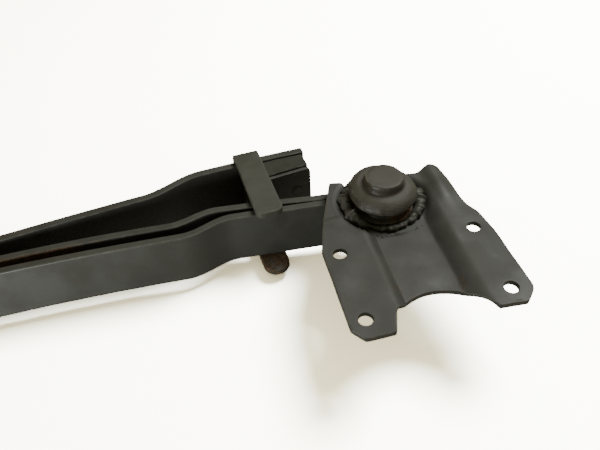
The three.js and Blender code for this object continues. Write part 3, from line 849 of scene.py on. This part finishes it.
# ---- ends of the pack -----------------------------------------------------------------------
@dataclass
class PackEnd:
    """Clip, rubbing block, wear plate, rivets and liner at one end of the pack."""

    shop: Workshop
    label: str
    end: float                    # +1 front, -1 rear
    clip_at: float = 567.0
    clip_width: float = 30.0
    clip_thickness: float = 8.0
    top_reach: float = 106.0
    bottom_reach: float = 124.0
    block: tuple[float, float] = (556.0, 631.0)
    plate_end: float = 631.0
    plate_far: float = -35.0
    block_inset: float = 0.75
    plate_inset: float = 2.75
    plate_thickness: float = 5.0
    rivet_radius: float = 5.0
    pad_rivet_at: float = 614.0

    def add(self, name: str, surface: Surface, slot: Slot, node: str, rust: Placed | None = None) -> None:
        """Adds one piece of this end, which stands for one CAD node of this end."""
        self.shop.piece(f"{self.label}_{name}", surface, slot, Body.SPRING, (f"{self.label}_{node}",),
                        rust=rust, rough=0.3)

    def clip_frame(self) -> tuple[Array, float]:
        """Where the clip's rivet meets the helper leaf, and the leaf's slope there."""
        x = np.array(self.end * self.clip_at)
        return HELPER.face(x, 1.0), math.atan(float(HELPER.slope(x)))

    def clip(self) -> None:
        """A flat strap bent into a U round the leaves: a strip along a U path in its own plane."""
        inner = WIDTH / 2 + 0.5
        half = self.clip_thickness / 2
        back, side = GAP + half, inner + half
        path = refined(softened([(-self.bottom_reach, -side), (back, -side), (back, side),
                                 (-self.top_reach, side)], [0, 7.5, 7.5, 0], 12), 3.0)
        strap = Strip(path, self.clip_thickness, self.clip_width, corner=1.7, end_round=1.7,
                      plan_start=self.clip_width / 2 - 0.6, plan_end=8.0, spacing=3.0).surface()
        # the strip's width runs along x, its path through y and z
        y, z, x = strap.points.T
        centre, slope = self.clip_frame()
        placed = Surface(np.stack([x, y, z], -1), strap.faces).moved([*centre, 0.0], slope)

        def underside(at: Array) -> Array:
            return (1.0 - ramp(at[:, 2], -33.0, -18.0)) * 0.55
        self.add("clip_strap", placed, Slot.STRAP, "clip", underside)

    def rivet(self, low: float, high: float, head: float, rise: float) -> Surface:
        """A shank between two domed heads, on the axis of the profile."""
        dome = np.linspace(0.03, math.pi / 2, 9)
        bottom = np.stack([head * np.sin(dome), low - rise * np.cos(dome)], -1)
        top = np.stack([head * np.sin(dome[::-1]), high + rise * np.cos(dome[::-1])], -1)
        shank = np.array([[self.rivet_radius, low], [self.rivet_radius, high]])
        return upright(turned(refined(np.vstack([bottom, shank, top]), 4.0), 40))

    def rivets(self) -> None:
        """The rivet of the clip, square to the leaf, and that of the pad, along Y."""
        centre, slope = self.clip_frame()
        plate_near = self.plate_far - self.plate_thickness
        grip = (centre[1] - plate_near) / math.cos(slope) + 1.2
        clip_rivet = self.rivet(-grip, self.clip_thickness + 2 * GAP, 9.0, 4.5).moved([*centre, 0.0], slope)
        self.add("clip_rivet_domed", clip_rivet, Slot.PIN, "clip_rivet")
        x = self.end * self.pad_rivet_at
        outer = float(HELPER.face(np.array(x), 1.0)[1]) + GAP + 0.9
        pad_rivet = self.rivet(plate_near - GAP, outer, 6.0, 0.3).moved([x, 0.0, 0.0])
        self.add("pad_rivet_domed", pad_rivet, Slot.PIN, "pad_rivet")

    def pad(self) -> None:
        """Rubbing block between the helper leaf and the wear plate, with two grooves along each side."""
        x = self.end * np.linspace(*self.block, 60)
        far = HELPER.face(x, -1.0, GAP)
        near = np.stack([far[:, 0], np.full(len(x), self.plate_far + GAP)], -1)
        shape = Strip((far + near) / 2, far[:, 1] - near[:, 1], WIDTH - 2 * self.block_inset,
                      corner=1.8, end_round=1.8, spacing=2.0).surface()
        across = self.share_across(shape.points)
        grooves = -1.5 * swell(across, 0.62, 0.14) - 0.5 * swell(across, 0.92, 0.08)
        grooves += 0.25 * (ripple(shape.points, 26.0, 5) - 1.0)
        z = shape.points[:, 2]
        z += np.sign(z) * np.where(np.abs(z) > 28.0, grooves, 0.0)
        self.add("rubbing_block_pad", shape, Slot.BLOCK, "rubbing_block")
        middle = self.plate_far - self.plate_thickness / 2
        path = np.array([[self.end * self.block[0], middle], [self.end * self.plate_end, middle]])
        plate = Strip(path, self.plate_thickness, WIDTH - 2 * self.plate_inset, corner=1.3,
                      end_round=1.3, plan_end=6.0, spacing=3.0).surface()
        self.add("wear_plate_shaped", plate, Slot.LEAF, "wear_plate")

    def share_across(self, at: Array) -> Array:
        """0 at the wear plate and 1 at the helper leaf."""
        far = HELPER.y(at[:, 0]) - HELPER.thickness / 2
        return (at[:, 1] - self.plate_far) / (far - self.plate_far)

    def liner(self) -> None:
        """The anti-squeak liner under the second leaf's tip."""
        x = self.end * np.linspace(572.0, 604.0, 30)
        low, high = MAIN.face(x, 1.0, GAP), SECOND.face(x, -1.0, GAP)
        bar = Strip((low + high) / 2, np.abs(high[:, 1] - low[:, 1]), 52.0, corner=0.5, end_round=0.5,
                    spacing=3.0)
        self.shop.piece(f"{self.label}_tip_liner_strip", bar.surface(), Slot.LINER, Body.SPRING,
                        (f"{self.label}_tip_liner",))

    def build(self) -> None:
        """All pieces of this end."""
        self.clip()
        self.rivets()
        self.pad()
        self.liner()


@dataclass
class EyeBush:
    """Rubber bush of one eye: outer sleeve, bonded rubber and inner sleeve."""

    shop: Workshop
    label: str
    centre: Array
    inner_body: Body
    turn: float = 0.0
    outer_sleeve: tuple[float, float] = (18.2, 20.7)
    rubber: tuple[float, float] = (13.5, 17.9)
    inner_sleeve: tuple[float, float] = (10.3, 13.2)
    sleeve_span: tuple[float, float] = (-33.0, 32.0)

    def build(self) -> None:
        """The three rings."""
        half = WIDTH / 2
        inside, outside = self.rubber
        rubber = softened([(15.7, 1 - half), (outside, -half + 3), (outside, half - 3), (15.7, half - 1),
                           (inside, half + 0.2), (inside, -half - 0.2), (15.7, 1 - half)],
                          [0, 1.5, 1.5, 1.4, 0.5, 0.5, 0], 5)
        bonded = turned(refined(rubber, 2.5)[:-1], ROUND_SEGMENTS, ring=True)
        outer = sleeve(*self.outer_sleeve, -half, half, 0.7)
        inner = sleeve(*self.inner_sleeve, *self.sleeve_span, 0.6)
        for name, node, surface, turn, slot, body in (
                ("outer_ring", "outer_sleeve", outer, 0.0, Slot.STEEL, Body.SPRING),
                ("bonded_rubber", "rubber", bonded, 0.0, Slot.RUBBER, Body.SPRING),
                ("inner_ring", "inner_sleeve", inner, self.turn, Slot.STEEL, self.inner_body)):
            self.shop.piece(f"{self.label}_bush_{name}", surface.moved([*self.centre, 0.0], turn), slot,
                            body, (f"{self.label}_bush_{node}",))


# ---- hanger bracket -------------------------------------------------------------------------
def inside_loop(points: Array, loop: Array) -> Array:
    """True for points inside a closed outline, by counting the outline's crossings to the right."""
    x, y = points[:, :1], points[:, 1:]
    x0, y0 = loop.T
    x1, y1 = np.roll(loop, -1, axis=0).T
    spans = (y0 > y) != (y1 > y)
    with np.errstate(divide="ignore", invalid="ignore"):
        crossing = x0 + (y - y0) * (x1 - x0) / (y1 - y0)
    return (np.sum(spans & (x < crossing), 1) % 2).astype(bool)


@dataclass
class HangerBracket:
    """The pressed plate, its forged pin with weld, washer and nut, about the front eye's axis."""

    shop: Workshop
    centre: Array
    turn: float = math.radians(-8.9)
    steel: float = 5.5
    floor_low: float = 32.3
    depth: float = 9.2
    edge_radius: float = 0.9
    hole_radius: float = 6.75
    hole_divisions: int = 44
    holes: tuple[tuple[float, float], ...] = (
        (-64.0, -61.5), (74.0, -61.5), (74.0, -142.5), (-64.0, -142.5))
    pin_hole: float = 24.3
    pin_hole_divisions: int = 110
    thread: ThreadedPart = ThreadedPart(10.0, 2.0)
    pin_end: float = -51.0
    pin_segments: int = 144
    bite: tuple[float, float, float] = (5.0, -174.0, 52.0)
    sheet_spacing: float = 1.55   # between the points of the plate's two sheets
    sheet_x: tuple[float, float] = (-82.0, 97.0)
    sheet_y: tuple[float, float] = (-165.0, 46.0)

    @property
    def base(self) -> float:
        """Height of the pin's flange, just clear of the plate."""
        return self.floor_low + self.steel + GAP

    def height(self, x: Array, y: Array) -> Array:
        """Middle height of the pressed plate: flanges, channel, round recess, ridges and creases."""
        channel = (ramp(x, -33.5, -20.5) * (1.0 - ramp(x, 34.0, 55.0)) * (1.0 - ramp(y, 2.0, 24.0)))
        recess = ramp(np.hypot(x, y), 40.5, 52.5)
        ridge_left = 1.3 * swell(x, -43.0, 3.2) * ramp(y, -16.0, -9.0) * (1 - ramp(y, 4.0, 12.0))
        ridge_right = 4.4 * swell(x, 65.0, 9.0) * ramp(y, -44.0, 10.0)
        crease = -1.2 * ramp(-x, 46.0, 54.0) * ramp(y, -15.0, -9.0) * (1 - ramp(y, -2.0, 26.0))
        slot = -1.5 * swell(x, 2.0, 7.0) * swell(y, -42.0, 1.6)
        dents = 0.35 * ripple(np.stack([x, y, 0 * x], -1), 60.0, 11)
        return (self.floor_low + self.steel / 2 + self.depth * (1.0 - channel) * recess
                + ridge_left + ridge_right + crease + slot + dents)

    def point(self, flat: Array, offset: Array) -> Array:
        """A point of the plate: the middle surface plus its unit normal times an offset."""
        x, y = flat[..., 0], flat[..., 1]
        step = 0.25
        dx = (self.height(x + step, y) - self.height(x - step, y)) / (2 * step)
        dy = (self.height(x, y + step) - self.height(x, y - step)) / (2 * step)
        normal = np.stack([-dx, -dy, np.ones_like(dx)], -1)
        normal /= np.linalg.norm(normal, axis=-1, keepdims=True)
        return np.stack([x, y, self.height(x, y)], -1) + normal * np.asarray(offset)[..., None]

    def outline(self) -> Array:
        """The plate's closed outline, counter-clockwise, with lightly rounded corners."""
        cx, cy, r = self.bite
        bow = np.linspace(math.acos((-34 - cx) / r), math.acos((55 - cx) / r), 21)
        bite = zip((cx + r * np.cos(bow)).tolist(), (cy + r * np.sin(bow)).tolist())
        corners = [(-46.5, 42), (-61, 5), (-68, -13), (-78, -46), (-80, -54), (-80, -150), (-70, -163),
                   (-42, -163), *bite, (82, -161), (92.5, -150), (94.5, -145), (92, -70), (88, -42),
                   (81.5, -28), (79, -14), (78, 12), (73, 34), (65, 38), (51, 32.5), (42, 33), (26, 40),
                   (0, 42), (-26, 39), (-31, 36), (-34, 40), (-46.5, 42)]
        line = refined(np.array(corners, float), 1.2)[:-1]
        weight = np.exp(-0.5 * (np.arange(-5, 6) / 1.3) ** 2)
        weight /= weight.sum()
        return sum(w * np.roll(line, k, axis=0) for k, w in zip(range(-5, 6), weight))

    def rim(self, loop: Array, outward: Array) -> Surface:
        """The rounded edge along a loop: quarter arc, flat and quarter arc from top to bottom."""
        r, half = self.edge_radius, self.steel / 2
        angle = np.linspace(0.0, math.pi / 2, 5)
        out = np.concatenate([r * np.sin(angle), [r, r, r], r * np.cos(angle)]) - r
        down = np.concatenate([half - r + r * np.cos(angle), [half * 0.35, 0.0, -half * 0.35],
                               -half + r - r * np.sin(angle)])
        flat = loop[:, None] + outward[:, None] * out[None, :, None]
        grid = self.point(flat, np.broadcast_to(down, flat.shape[:2]))
        rows, columns = grid.shape[:2]
        return Surface(grid.reshape(-1, 3), grid_faces(rows, columns, True, False).tolist())

    def plate(self) -> Surface:
        """The whole plate: top and bottom sheets between the loops, and a rim along each loop."""
        outer = self.outline()
        ahead = np.roll(outer, -1, axis=0) - np.roll(outer, 1, axis=0)
        ahead /= np.linalg.norm(ahead, axis=1, keepdims=True)
        loops = [(outer, np.stack([ahead[:, 1], -ahead[:, 0]], -1))]
        for x, y, r, count in [*((x, y, self.hole_radius, self.hole_divisions) for x, y in self.holes),
                               (0.0, 0.0, self.pin_hole, self.pin_hole_divisions)]:
            angle = np.linspace(0.0, 2 * math.pi, count, endpoint=False)
            spoke = np.stack([np.cos(angle), np.sin(angle)], -1)
            loops.append((np.array([x, y]) + r * spoke, -spoke))
        inset = [loop - outward * self.edge_radius for loop, outward in loops]
        spacing = self.sheet_spacing
        rows = np.arange(*self.sheet_y, spacing * 0.87)
        columns = np.arange(*self.sheet_x, spacing)
        x, y = np.meshgrid(columns, rows)
        x = x + (np.arange(len(rows)) % 2)[:, None] * spacing / 2
        grid = np.stack([x, y], -1).reshape(-1, 2)
        keep = self.on_plate(grid, inset)
        edge = np.vstack(inset)
        grid = grid[keep]
        near = np.concatenate([
            np.min(np.hypot(part[:, :1] - edge[:, 0], part[:, 1:] - edge[:, 1]), axis=1)
            for part in np.array_split(grid, 12)])
        grid = grid[near > 0.75 * spacing]
        starts = np.cumsum([0] + [len(loop) for loop in inset])
        ties = [(int(a + i), int(a + (i + 1) % (b - a))) for a, b in zip(starts[:-1], starts[1:])
                for i in range(b - a)]
        flat = np.vstack([edge, grid])
        corners, _, triangles, *_ = delaunay_2d_cdt(
            [Vector(p) for p in flat.tolist()], ties, [], 1, 1e-6, True)
        flat = np.array(corners, float)
        triangles = np.array(triangles, int)
        triangles = triangles[self.on_plate(flat[triangles].mean(1), inset)]
        half = np.full(len(flat), self.steel / 2)
        top = Surface(self.point(flat, half), triangles.tolist())
        bottom = Surface(self.point(flat, -half), triangles[:, ::-1].tolist())
        return top.joined(bottom, *(self.rim(loop, outward) for loop, outward in loops))

    @staticmethod
    def on_plate(points: Array, loops: list[Array]) -> Array:
        """True for points inside the first loop and outside the others."""
        keep = inside_loop(points, loops[0])
        for hole in loops[1:]:
            keep &= ~inside_loop(points, hole)
        return keep

    def local(self, at: Array) -> Array:
        """Positions about the pin's axis, along and across the bracket."""
        c, s = math.cos(self.turn), math.sin(self.turn)
        d = at[:, :2] - self.centre
        return np.stack([d[:, 0] * c + d[:, 1] * s, -d[:, 0] * s + d[:, 1] * c, at[:, 2]], -1)

    def plate_rust(self, at: Array) -> Array:
        """Rust beside the bite, along the channel's left foot, at the right corner and round the recess."""
        x, y, _ = self.local(at).T
        spots = 0.34 * swell(x, 40.0, 9.0) * swell(y, -124.0, 12.0)
        spots += 0.30 * swell(x, -24.0, 5.0) * swell(y, -105.0, 22.0)
        spots += 0.28 * swell(x, 75.0, 10.0) * swell(y, -160.0, 4.0)
        return spots + 0.12 * swell(np.hypot(x, y), 40.0, 4.0)

    def plate_painted_shade(self, at: Array) -> Array:
        """Painted shade: near-black colour in the slot under the weld, in the right groove and round the
        recess, where shadow falls.
        """
        x, y, _ = self.local(at).T
        slot = 0.8 * swell(x, 2.0, 7.0) * swell(y, -41.5, 1.5)
        groove = 0.5 * swell(x, 36.0, 4.5) * (1 - ramp(-y, 120.0, 140.0)) * ramp(-y, 5.0, 40.0)
        return slot + groove + 0.12 * swell(np.hypot(x, y), 44.0, 3.0)

    def pin(self) -> Surface:
        """The forged pin: threaded end, shank, flange on the plate, groove, collar and head."""
        base = self.base
        corners = [(0.4, self.pin_end), (8.5, self.pin_end), (10.0, self.pin_end + 1.5), (10.0, 32.3),
                   (24.0, 32.3), (24.0, base), (32.0, base), (32.0, base + 5), (26.0, base + 6.5),
                   (26.0, base + 15), (33.0, base + 16.2), (35.2, base + 19), (34.8, base + 22),
                   (32.6, base + 26.5), (28.0, base + 30.3), (20.6, base + 32.6), (20.0, 77.5),
                   (19.0, 79.6), (16.0, 80.0), (0.4, 80.0)]
        radii = [0, 0.5, 1.0, 1.0, 1.0, 0.4, 0.8, 2.0, 1.2, 2.5, 1.6, 2.0, 2.0, 3.0, 4.0, 2.4, 1.6, 1.4,
                 1.5, 0]
        shaft = self.thread.shaft(corners, radii, (self.pin_end + 1.8, -33.0), self.pin_segments)
        x, y, z = shaft.points.T
        angle = np.arctan2(y, x)
        forged = 0.5 * ripple(shaft.points, 24.0, 3) + 0.25 * ripple(shaft.points, 8.0, 4)
        dent = 1.3 * swell(np.cos(angle - 0.4), 1.0, 0.10) * swell(z, 78.0, 4.0)
        shoulder = swell(z, base + 27.0, 6.0) * swell(np.cos(angle - 2.2), 1.0, 0.45)
        reach = np.hypot(x, y)
        bulge = 2.6 * shoulder * ramp(reach, 20.5, 26.0)
        shrink = np.where(z > base + 5.5, 1.0 - (0.012 * (1.0 - forged) + dent * 0.02), 1.0)
        shrink += bulge / np.maximum(reach, 1.0)
        shaft.points[:, 0] *= shrink
        shaft.points[:, 1] *= shrink
        shaft.points[:, 2] += 2.2 * shoulder * ramp(reach, 21.0, 27.0)
        return shaft

    def pin_rust(self, at: Array) -> Array:
        """Rust on the head's wall and, on one side, in the groove under the collar."""
        x, y, z = self.local(at).T
        radius = np.hypot(x, y)
        wall = 0.30 * swell(radius, 19.8, 0.9) * ramp(z, 67.0, 71.0) * (1 - ramp(z, 76.5, 78.5))
        groove = 1.2 * (1 - ramp(radius, 31.0, 34.5)) * swell(z, 49.0, 7.0) * ramp(x, -8.0, 4.0)
        rim = 0.35 * ramp(radius, 32.0, 34.0) * (1 - ramp(z, 54.0, 57.0)) * ramp(x, 0.0, 14.0)
        return wall + groove + rim

    def pin_painted_shade(self, at: Array) -> Array:
        """Painted shade: near-black colour in the groove on the other side and at the head's foot, where
        shadow falls.
        """
        x, y, z = self.local(at).T
        radius = np.hypot(x, y)
        groove = 0.5 * (1 - ramp(radius, 31.0, 33.5)) * swell(z, 49.0, 7.0) * (1 - ramp(x, -6.0, 6.0))
        return groove + 0.55 * swell(radius, 20.6, 1.8) * swell(z, 71.0, 4.5)

    def weld(self) -> Surface:
        """The bead round the flange, a ring whose section swells in lumps and crescent ripples.

        It follows the plate: low where the channel runs out, and climbing with the recess's wall
        at both sides and behind, where it fills the corner up to the collar.
        """
        base = self.base
        turn = np.linspace(0.0, 2 * math.pi, 720, endpoint=False)[:, None]
        around = np.linspace(0.0, 2 * math.pi, 30, endpoint=False)[None, :]
        path = np.concatenate([np.cos(turn), np.sin(turn), 0 * turn], 1) * 36.0
        coarse, fine = ripple(path, 34.0, 21)[:, None], ripple(path, 13.0, 22)[:, None]
        open_side = ramp(-np.sin(turn), 0.30, 0.85)
        beads = np.abs(np.sin(turn * 11.0 + 1.3 * coarse)) ** 0.6
        lumps = (0.80 + 0.26 * beads) * (1.0 + 0.16 * coarse + 0.12 * fine)
        crescent = 0.012 * np.sin(turn * 84.0 + 2.0 * coarse - 2.2 * np.sin(around))
        skin = 1.0 + 0.07 * ripple(np.stack(np.broadcast_arrays(
            36.0 * np.cos(turn), 36.0 * np.sin(turn), 5.0 * around), -1), 9.0, 23)
        out = (6.8 - 3.6 * open_side) * lumps * (1 + crescent) * skin
        up = (6.4 - 3.4 * open_side) * lumps * (1 + crescent) * skin
        middle = 38.6 - 2.6 * open_side + 0.5 * fine
        lift = base + 2.2 + 3.6 * (1.0 - open_side) + 0.8 * coarse * (1.0 - open_side)
        radius = middle + out * np.cos(around)
        z = np.maximum(lift + up * np.sin(around), base + 0.1)
        return tube(np.stack([radius * np.cos(turn), radius * np.sin(turn), z], -1), ring=True)

    def spatter(self) -> Surface:
        """Small drops that the welder left on the plate, each a squashed ball on the surface."""
        random = np.random.default_rng(8)
        count = 16
        turn = random.uniform(math.radians(195), math.radians(325), count)
        reach = random.uniform(43.0, 49.0, count)
        size = random.uniform(0.5, 1.5, count)
        flat = np.stack([reach * np.cos(turn), reach * np.sin(turn)], -1)
        foot = self.point(flat, np.full(count, self.steel / 2))
        latitude = np.linspace(0.05, math.pi - 0.05, 9)[:, None]
        longitude = np.linspace(0.0, 2 * math.pi, 12, endpoint=False)[None, :]
        ball = np.stack([np.sin(latitude) * np.cos(longitude), np.sin(latitude) * np.sin(longitude),
                         0.7 * np.cos(latitude) + 0 * longitude], -1)
        drops = [tube(ball * size[k] + foot[k]) for k in range(count)]
        return drops[0].joined(*drops[1:])

    def build(self) -> None:
        """All pieces of the hanger."""
        washer = sleeve(10.3, 19.0, -35.8, -33.3, 0.5)
        nut = self.thread.nut(30.0, -48.1, -36.1)
        # each row ends with rust and the painted shade: near-black colour laid into the shadowed crevices of
        # the plate and pin
        for name, node, surface, slot, rust, painted_shade in (
                ("pressed_plate", "plate", self.plate(), Slot.BRACKET, self.plate_rust, self.plate_painted_shade),
                ("forged_pin", "pin", self.pin(), Slot.PIN, self.pin_rust, self.pin_painted_shade),
                ("weld_bead", "pin_weld", self.weld().joined(self.spatter()), Slot.WELD, None, None),
                ("pin_flat_washer", "pin_washer", washer, Slot.STEEL, None, None),
                ("pin_hex_nut", "pin_nut", nut, Slot.STEEL, None, None)):
            self.shop.piece(f"hanger_{name}", surface.moved([*self.centre, 0.0], self.turn), slot,
                            Body.HANGER, (f"hanger_{node}",), rust=rust, painted_shade=painted_shade)


# ---- studio ---------------------------------------------------------------------------------
@dataclass(frozen=True)
class Lamp:
    """One soft lamp: where it stands, what it looks at, its size in metres, power and colour.

    on_floor is False for a lamp that leaves the floor dark.
    """

    name: str
    place: tuple[float, float, float]
    aim: tuple[float, float, float]
    size: float
    power: float
    colour: Colour = (1.0, 1.0, 1.0)
    on_floor: bool = True


@dataclass
class Studio:
    """Floor, lamps, sky and camera."""

    floor_height: float = -0.0512
    floor_half: float = 6.0
    floor_colour: Colour = (0.62, 0.60, 0.52)
    floor_seen: Colour = (12.5, 12.4, 11.6)
    sky: Colour = (1.0, 0.89, 0.56)
    sky_strength: float = 0.20
    lamps: tuple[Lamp, ...] = (
        Lamp("key", (1.72, 0.18, 1.95), (0.50, -0.1, 0.0), 1.15, 48.0, (0.98, 1.0, 0.97)),
        Lamp("fill", (0.05, -0.42, 0.05), (0.25, -0.1, 0.22), 0.22, 4.0, (0.97, 1.0, 1.0), False),
    )
    eye: tuple[float, float, float] = (0.4172, -0.5736, 0.500)
    heading: tuple[float, float] = (0.3463, 0.9381)
    pitch: float = math.radians(44.4)
    roll: float = math.radians(-3.1)
    lens: float = 38.46
    sensor: float = 36.0

    def floor(self) -> bpy.types.Object:
        """A wide pale floor, seen by the camera at the full brightness of an overexposed white sheet."""
        half, low = self.floor_half, self.floor_height
        mesh = bpy.data.meshes.new("floor")
        mesh.from_pydata([(-half, -half, low), (half, -half, low), (half, half, low), (-half, half, low)],
                         [], [(0, 1, 2, 3)])
        floor = new_object("floor", mesh)
        material, tree = new_material("pale floor")
        seen, lit = (tree.add("ShaderNodeBsdfDiffuse", {"Color": (*colour, 1.0)}).outputs[0]
                     for colour in (self.floor_seen, self.floor_colour))
        camera_ray = tree.add("ShaderNodeLightPath").outputs["Is Camera Ray"]
        mixed = tree.add("ShaderNodeMixShader", {0: camera_ray, 1: lit, 2: seen})
        tree.add("ShaderNodeOutputMaterial", {"Surface": mixed.outputs[0]})
        mesh.materials.append(material)
        return floor

    def lights(self, floor: bpy.types.Object) -> None:
        """The area lamps and an even sky; a lamp can leave the floor out of what it lights."""
        spared = bpy.data.collections.new("floor")
        spared.objects.link(floor)
        spared.collection_objects[0].light_linking.link_state = "EXCLUDE"
        for lamp in self.lamps:
            light = bpy.data.lights.new(lamp.name, "AREA")
            light.shape, light.size = "DISK", lamp.size
            light.energy, light.color = lamp.power, lamp.colour
            made = new_object(lamp.name, light)
            made.visible_camera = False
            if not lamp.on_floor:
                made.light_linking.receiver_collection = spared
            made.location = lamp.place
            made.rotation_euler = (Vector(lamp.aim) - Vector(lamp.place)).to_track_quat("-Z", "Y").to_euler()
        world = bpy.data.worlds.new("even sky")
        world.use_nodes = True
        background = world.node_tree.nodes["Background"]
        background.inputs["Color"].default_value = (*self.sky, 1.0)
        background.inputs["Strength"].default_value = self.sky_strength
        bpy.context.scene.world = world

    def camera(self) -> None:
        """A camera that looks down and forward across the front end of the spring."""
        fx, fy = self.heading
        cp, sp = math.cos(self.pitch), math.sin(self.pitch)
        forward = Vector((cp * fx, cp * fy, -sp))
        right, up = Vector((fy, -fx, 0.0)), Vector((sp * fx, sp * fy, cp))
        cr, sr = math.cos(self.roll), math.sin(self.roll)
        axes = Matrix((cr * right + sr * up, cr * up - sr * right, -forward)).transposed()
        data = bpy.data.cameras.new("camera")
        data.lens, data.sensor_width = self.lens, self.sensor
        made = new_object("camera", data)
        made.matrix_world = Matrix.Translation(self.eye) @ axes.to_4x4()
        bpy.context.scene.camera = made

    def build(self) -> None:
        """Everything round the object."""
        self.lights(self.floor())
        self.camera()


def main() -> None:
    """Builds the sub-assemblies in order, then the studio, and reports each piece."""
    logging.basicConfig(level=logging.INFO, format="%(name)s: %(message)s")
    effects = EffectGroups()
    shop = Workshop({finish.slot: finish.build(effects) for finish in FINISHES})
    pack = LeafPack(shop)
    pack.build()
    PackEnd(shop, "front", 1.0).build()
    PackEnd(shop, "rear", -1.0).build()
    front = pack.eye_centre(pack.front_tangent)
    hanger = HangerBracket(shop, front)
    EyeBush(shop, "front", front, Body.HANGER, hanger.turn).build()
    EyeBush(shop, "rear", pack.eye_centre(pack.rear_tangent), Body.REAR_SLEEVE).build()
    hanger.build()
    Studio().build()
    log.info("%d pieces in place", len(shop.made))


if __name__ == "__main__":
    main()
